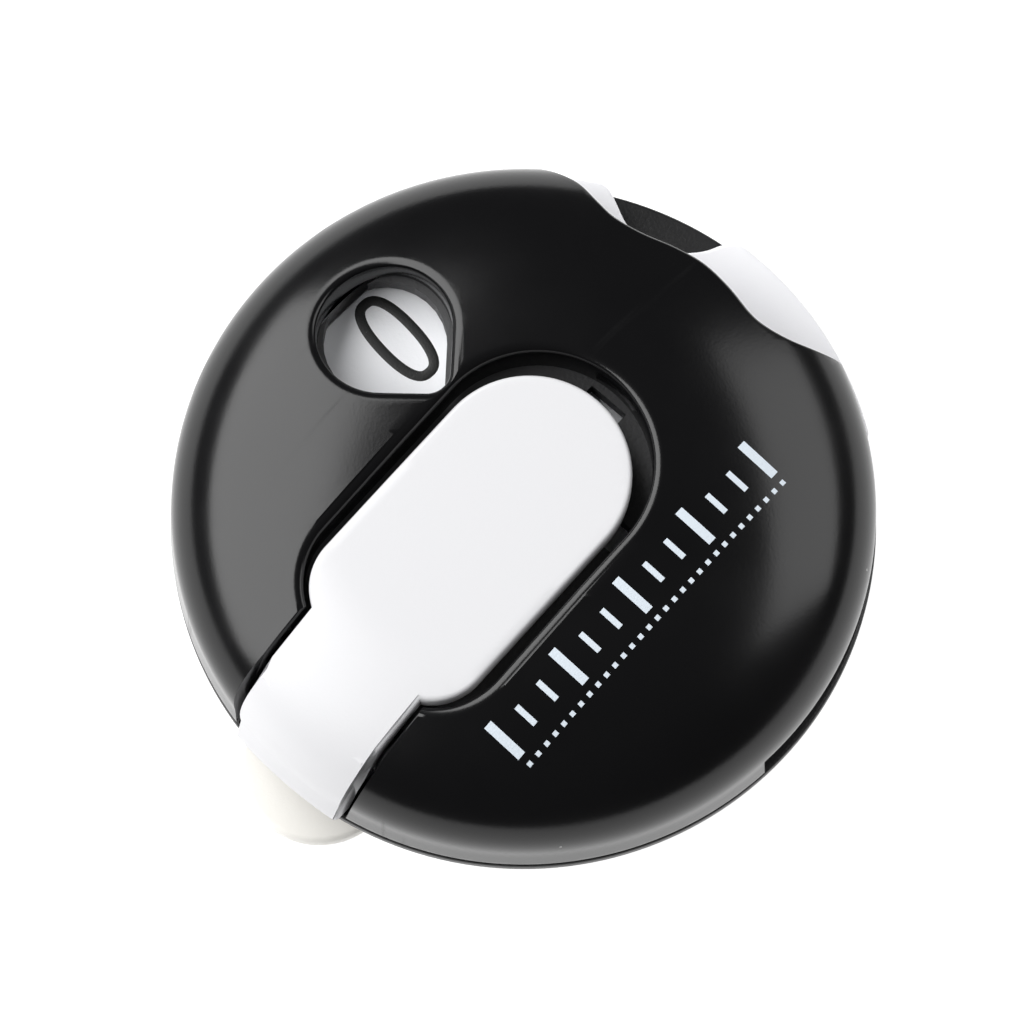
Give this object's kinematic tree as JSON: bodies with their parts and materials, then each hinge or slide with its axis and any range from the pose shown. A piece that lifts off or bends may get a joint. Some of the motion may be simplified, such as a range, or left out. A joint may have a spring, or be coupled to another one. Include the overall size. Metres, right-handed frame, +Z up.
{
  "type": "hand tally counter",
  "caption": "Round clip-on hand tally counter with a domed cover, a sprung thumb paddle, a number wheel behind a window, a side reset lever and a rear clip.",
  "frame": {"origin": "on the case's axis, on the flat outer face of the rear clip", "axes": "+Z up through the domed cover; +X along the paddle, from the rim where it is hinged towards the reset lever's side; +Y towards the number window"},
  "size_m": [0.0423, 0.0402, 0.0152],
  "materials": {
    "cover_black": "moulded, satin gloss",
    "inner_black": "fine matt texture",
    "paddle_white": "moulded, satin",
    "lever_white": "moulded, satin",
    "wheel_white": "matt, printed numbers",
    "clip_cream": "moulded, satin",
    "natural_acetal": "moulded, slightly waxy",
    "steel": "bright drawn wire and stamped strip"
  },
  "bodies": {
    "case": {"top_cover": "cover_black", "inner_plate": "inner_black", "bottom_case": "cover_black", "case_screw_1": "steel", "case_screw_2": "steel", "case_screw_3": "steel", "paddle_pin": "steel", "paddle_spring": "steel", "slide_spring": "steel", "mainspring": "steel", "holding_pawl_pin": "steel", "holding_pawl_spring": "steel", "reset_spring": "steel", "clip_pin": "steel", "clip_spring": "steel"},
    "paddle": {"count_paddle": "paddle_white"},
    "plunger": {"count_plunger": "natural_acetal"},
    "slide": {"drive_slide": "natural_acetal", "drive_pawl_spring": "steel"},
    "drive_pawl": {"drive_pawl": "steel"},
    "wheel": {"number_wheel": "wheel_white", "ratchet_wheel": "natural_acetal"},
    "reset": {"reset_lever": "lever_white"},
    "holding_pawl": {"holding_pawl": "steel"},
    "clip": {"clip_lever": "clip_cream"}
  },
  "joints": [
    {"name": "count_press", "type": "hinge", "parent": "case", "child": "paddle", "pos_m": [-0.0164, 0, 0.009], "axis": [0, 1, 0], "range_deg": [0, 3.5], "stiffness_Nm_per_rad": 0.15, "springref_deg": -3.44, "deforming": ["paddle_spring"]},
    {"name": "plunger_push", "type": "slide", "parent": "case", "child": "plunger", "axis": [0, 0, -1], "range_m": [0, 0.00108]},
    {"name": "slide_drive", "type": "slide", "parent": "case", "child": "slide", "axis": [0, -1, 0], "range_m": [0, 0.00216], "deforming": ["slide_spring"]},
    {"name": "drive_pawl_lift", "type": "hinge", "parent": "slide", "child": "drive_pawl", "pos_m": [0.0074, 0.003, 0.0084], "axis": [0, 0, 1], "range_deg": [0, 8], "stiffness_Nm_per_rad": 0.0002, "springref_deg": -5.73, "deforming": ["drive_pawl_spring"]},
    {"name": "wheel_turn", "type": "hinge", "parent": "case", "child": "wheel", "pos_m": [0.0011, 0, 0.0097], "axis": [0, 0, -1], "range_deg": [0, 332.3], "deforming": ["mainspring"]},
    {"name": "reset_turn", "type": "hinge", "parent": "case", "child": "reset", "pos_m": [0, 0, 0.0069], "axis": [0, 0, -1], "range_deg": [0, 45], "stiffness_Nm_per_rad": 0.02, "springref_deg": -11.46, "deforming": ["reset_spring"]},
    {"name": "holding_pawl_lift", "type": "hinge", "parent": "case", "child": "holding_pawl", "pos_m": [0.008, -0.0063, 0.0084], "axis": [0, 0, 1], "range_deg": [0, 7.2], "deforming": ["holding_pawl_spring"]},
    {"name": "clip_open", "type": "hinge", "parent": "case", "child": "clip", "pos_m": [-0.007, 0, 0.0026], "axis": [0, 1, 0], "range_deg": [0, 8], "stiffness_Nm_per_rad": 0.05, "springref_deg": -17.19, "deforming": ["clip_spring"]}
  ],
  "couplings": [
    {"joint": "plunger_push", "follows": "count_press", "m_per_rad": 0.0175},
    {"joint": "slide_drive", "follows": "count_press", "m_per_rad": 0.035},
    {"joint": "holding_pawl_lift", "follows": "reset_turn", "ratio": 0.158}
  ]
}
